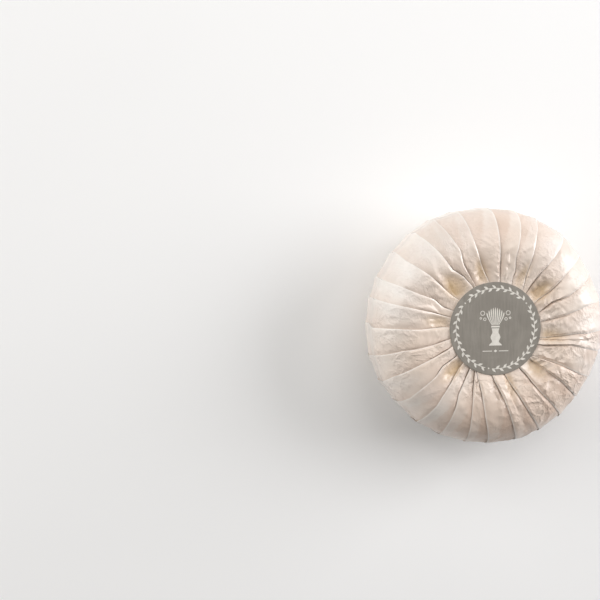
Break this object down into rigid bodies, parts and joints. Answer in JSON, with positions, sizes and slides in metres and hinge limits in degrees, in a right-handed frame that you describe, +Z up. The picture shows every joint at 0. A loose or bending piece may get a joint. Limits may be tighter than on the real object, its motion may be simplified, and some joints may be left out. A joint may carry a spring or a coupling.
{
  "type": "wrapped shaving soap puck",
  "caption": "Round shaving soap cake in a pinwheel-pleated tissue wrapper, closed on top with a round peel-off paper label.",
  "frame": {"origin": "middle of the puck's flat underside, which it rests on", "axes": "+Z up along the cake's axis, out of the face that carries the label; +Y is the upright direction of the label's ornament and +X is to its right"},
  "size_m": [0.0622, 0.062, 0.0269],
  "materials": {
    "soap": null,
    "tissue": "thin ivory waxed tissue paper, slightly translucent, creased and pleated",
    "adhesive": "thin clear tacky adhesive film",
    "label_paper": "uncoated warm grey paper with a fine fibre grain and a light printed ornament"
  },
  "bodies": {
    "wrapped_cake": {"soap_cake": "soap", "wrapper": "tissue"},
    "label": {"seal_label": "label_paper", "label_adhesive": "adhesive"}
  },
  "joints": [
    {"name": "label_peel", "type": "slide", "parent": "wrapped_cake", "child": "label", "axis": [0, 0, 1], "range_m": [0, 0.03]}
  ]
}
